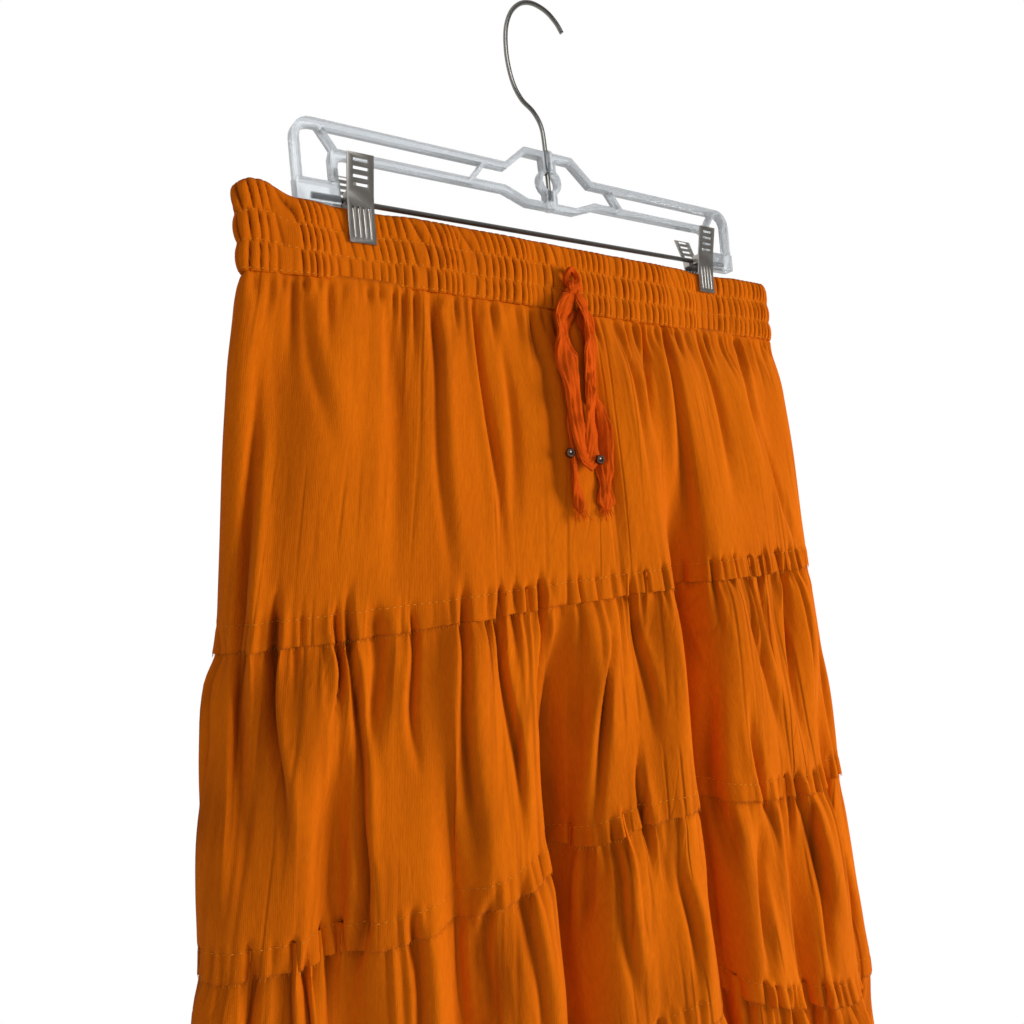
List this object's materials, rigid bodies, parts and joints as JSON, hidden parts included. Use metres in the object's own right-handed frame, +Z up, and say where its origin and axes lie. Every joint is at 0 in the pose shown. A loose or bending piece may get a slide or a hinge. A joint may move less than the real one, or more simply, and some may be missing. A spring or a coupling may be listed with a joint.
{
  "type": "maxi skirt on a clip hanger",
  "caption": "Long tiered skirt with a shirred drawstring waistband, hung by its waist from a clear clip hanger with a steel hook.",
  "frame": {"origin": "inside of the crown of the hanger's hook, where a rail carries it", "axes": "+Z up along the garment's length, -Y out of the front of the skirt, +X to the right seen from the front, along the hanger's rod"},
  "size_m": [0.5618, 0.1745, 1.065],
  "materials": {
    "skirt_cloth": "gathered cotton gauze, matt",
    "tie_cloth": "crinkled cotton gauze, matt",
    "clear_plastic": "clear moulded polystyrene, glossy",
    "steel_wire": "drawn and plated steel wire",
    "clip_steel": "pressed and plated steel sheet",
    "spring_steel": "oiled spring steel",
    "bead_metal": "darkened cast brass"
  },
  "bodies": {
    "root": {"waistband_front": "skirt_cloth", "waistband_back": "skirt_cloth", "tier_1_front": "skirt_cloth", "tier_1_back": "skirt_cloth", "tier_2_front": "skirt_cloth", "tier_2_back": "skirt_cloth", "tier_3_front": "skirt_cloth", "tier_3_back": "skirt_cloth", "tier_4_front": "skirt_cloth", "tier_4_back": "skirt_cloth", "tier_5_front": "skirt_cloth", "tier_5_back": "skirt_cloth", "hanger_frame": "clear_plastic", "hanger_rod": "steel_wire", "hook": "steel_wire", "clip_left_front_plate": "clip_steel", "clip_left_back_plate": "clip_steel", "clip_left_spring": "spring_steel", "clip_right_front_plate": "clip_steel", "clip_right_back_plate": "clip_steel", "clip_right_spring": "spring_steel", "tie_loop": "tie_cloth", "tie_tail_left": "tie_cloth", "tie_tail_right": "tie_cloth", "tie_knot": "tie_cloth", "tie_bead_left": "bead_metal", "tie_bead_right": "bead_metal"}
  },
  "joints": []
}
